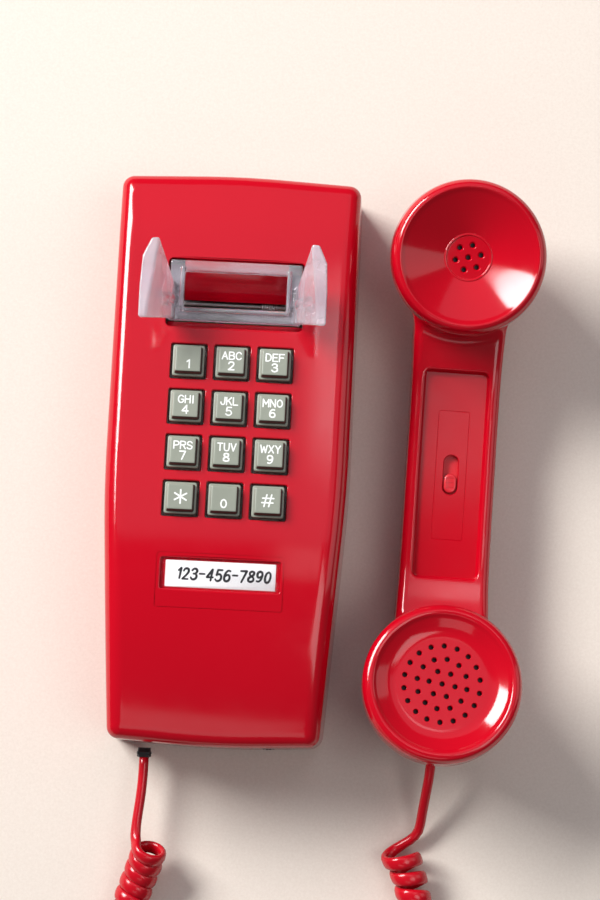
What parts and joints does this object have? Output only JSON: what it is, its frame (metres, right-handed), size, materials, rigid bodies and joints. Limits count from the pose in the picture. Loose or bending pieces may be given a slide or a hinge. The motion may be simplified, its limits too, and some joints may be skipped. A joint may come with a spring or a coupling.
{
  "type": "wall telephone",
  "caption": "Keypad wall telephone with a sprung clear cradle and a separate round-cap handset on a curly cord, laid flat with the handset off the hook.",
  "frame": {"origin": "centre of the back plate's wall side, level with the surface the phone lies on", "axes": "+X to the right across the keypad, +Y towards the top of the phone, +Z out of the wall side towards the keypad"},
  "size_m": [0.1634, 0.348, 0.074],
  "materials": {
    "red_plastic": "moulded glossy red ABS",
    "key_plastic": "satin grey-green moulded keys with white legends",
    "clear_plastic": "clear moulded polycarbonate",
    "card": "white card",
    "steel": "zinc plated",
    "board": "green laminate",
    "silicone": "moulded silicone",
    "brass": "plain",
    "black_plastic": "moulded black",
    "coil_tape": "yellow wound tape",
    "aluminium": "plain",
    "inner_plastic": "moulded",
    "film_amber": "dipped",
    "slider_red": "moulded red",
    "wire_blue": "PVC insulation",
    "wire_yellow": "PVC insulation",
    "wire_grey": "PVC insulation",
    "cord_jacket": "soft glossy red PVC"
  },
  "bodies": {
    "base": {"housing": "red_plastic", "base_plate": "steel", "housing_screws": "steel", "keypad_bracket": "steel", "keypad_membrane": "silicone", "keypad_pcb": "board", "keypad_screws": "steel", "number_card": "card", "card_window": "clear_plastic", "main_pcb": "board", "standoffs": "brass", "pcb_screws": "steel", "line_transformer": "coil_tape", "capacitors": "black_plastic", "film_capacitor": "film_amber", "hook_switch": "black_plastic", "wall_jack_plug": "clear_plastic", "wires_blue": "wire_blue", "wires_yellow": "wire_yellow", "hook_pivot_pin": "steel", "hook_brackets": "steel", "hook_spring": "steel", "ringer_frame": "steel", "gong_left": "brass", "gong_right": "brass", "gong_screws": "steel", "ringer_coil": "coil_tape", "wheel_spindle": "steel", "base_handset_jack": "black_plastic", "base_cord_plug": "clear_plastic", "cord_lead_base": "cord_jacket", "cord_coil": "cord_jacket", "cord_lead_handset": "cord_jacket"},
    "handset": {"handset_shell": "red_plastic", "ear_cap": "red_plastic", "mouth_cap": "red_plastic", "receiver_capsule": "aluminium", "transmitter_capsule": "aluminium", "transmitter_cup": "inner_plastic", "volume_board": "board", "handset_jack": "black_plastic", "handset_cord_plug": "clear_plastic", "handset_wires": "wire_grey"},
    "cradle": {"hook_cradle": "clear_plastic"},
    "clapper": {"clapper": "inner_plastic"},
    "volume_wheel": {"ringer_volume_wheel": "inner_plastic"},
    "volume_knob": {"volume_slider": "slider_red"},
    "key_1": {"key_1": "key_plastic"},
    "key_2": {"key_2": "key_plastic"},
    "key_3": {"key_3": "key_plastic"},
    "key_4": {"key_4": "key_plastic"},
    "key_5": {"key_5": "key_plastic"},
    "key_6": {"key_6": "key_plastic"},
    "key_7": {"key_7": "key_plastic"},
    "key_8": {"key_8": "key_plastic"},
    "key_9": {"key_9": "key_plastic"},
    "key_star": {"key_star": "key_plastic"},
    "key_0": {"key_0": "key_plastic"},
    "key_hash": {"key_hash": "key_plastic"}
  },
  "joints": [
    {"name": "handset_lift", "type": "slide", "parent": "base", "child": "handset", "axis": [0, 0, 1], "range_m": [0, 0.12]},
    {"name": "hook_press", "type": "hinge", "parent": "base", "child": "cradle", "pos_m": [0, 0.058, 0.03], "axis": [1, 0, 0], "range_deg": [0, 6], "stiffness_Nm_per_rad": 0.35, "springref_deg": -14.32},
    {"name": "clapper_swing", "type": "hinge", "parent": "base", "child": "clapper", "pos_m": [0, -0.052, 0.0134], "axis": [0, 0, 1], "range_deg": [-2.5, 2.5], "stiffness_Nm_per_rad": 0.002},
    {"name": "ringer_volume_turn", "type": "hinge", "parent": "base", "child": "volume_wheel", "pos_m": [0.02, -0.1007, 0.017], "axis": [0, 0, 1], "range_deg": [-120, 120]},
    {"name": "volume_slide", "type": "slide", "parent": "handset", "child": "volume_knob", "axis": [0.0222, 0.9998, 0], "range_m": [0, 0.0065]},
    {"name": "key_1_press", "type": "slide", "parent": "base", "child": "key_1", "axis": [0, -0.0914, -0.9958], "range_m": [0, 0.003], "stiffness_N_per_m": 260, "springref_m": -0.002},
    {"name": "key_2_press", "type": "slide", "parent": "base", "child": "key_2", "axis": [0, -0.0914, -0.9958], "range_m": [0, 0.003], "stiffness_N_per_m": 260, "springref_m": -0.002},
    {"name": "key_3_press", "type": "slide", "parent": "base", "child": "key_3", "axis": [0, -0.0914, -0.9958], "range_m": [0, 0.003], "stiffness_N_per_m": 260, "springref_m": -0.002},
    {"name": "key_4_press", "type": "slide", "parent": "base", "child": "key_4", "axis": [0, -0.0914, -0.9958], "range_m": [0, 0.003], "stiffness_N_per_m": 260, "springref_m": -0.002},
    {"name": "key_5_press", "type": "slide", "parent": "base", "child": "key_5", "axis": [0, -0.0914, -0.9958], "range_m": [0, 0.003], "stiffness_N_per_m": 260, "springref_m": -0.002},
    {"name": "key_6_press", "type": "slide", "parent": "base", "child": "key_6", "axis": [0, -0.0914, -0.9958], "range_m": [0, 0.003], "stiffness_N_per_m": 260, "springref_m": -0.002},
    {"name": "key_7_press", "type": "slide", "parent": "base", "child": "key_7", "axis": [0, -0.0914, -0.9958], "range_m": [0, 0.003], "stiffness_N_per_m": 260, "springref_m": -0.002},
    {"name": "key_8_press", "type": "slide", "parent": "base", "child": "key_8", "axis": [0, -0.0914, -0.9958], "range_m": [0, 0.003], "stiffness_N_per_m": 260, "springref_m": -0.002},
    {"name": "key_9_press", "type": "slide", "parent": "base", "child": "key_9", "axis": [0, -0.0914, -0.9958], "range_m": [0, 0.003], "stiffness_N_per_m": 260, "springref_m": -0.002},
    {"name": "key_star_press", "type": "slide", "parent": "base", "child": "key_star", "axis": [0, -0.0914, -0.9958], "range_m": [0, 0.003], "stiffness_N_per_m": 260, "springref_m": -0.002},
    {"name": "key_0_press", "type": "slide", "parent": "base", "child": "key_0", "axis": [0, -0.0914, -0.9958], "range_m": [0, 0.003], "stiffness_N_per_m": 260, "springref_m": -0.002},
    {"name": "key_hash_press", "type": "slide", "parent": "base", "child": "key_hash", "axis": [0, -0.0914, -0.9958], "range_m": [0, 0.003], "stiffness_N_per_m": 260, "springref_m": -0.002}
  ]
}
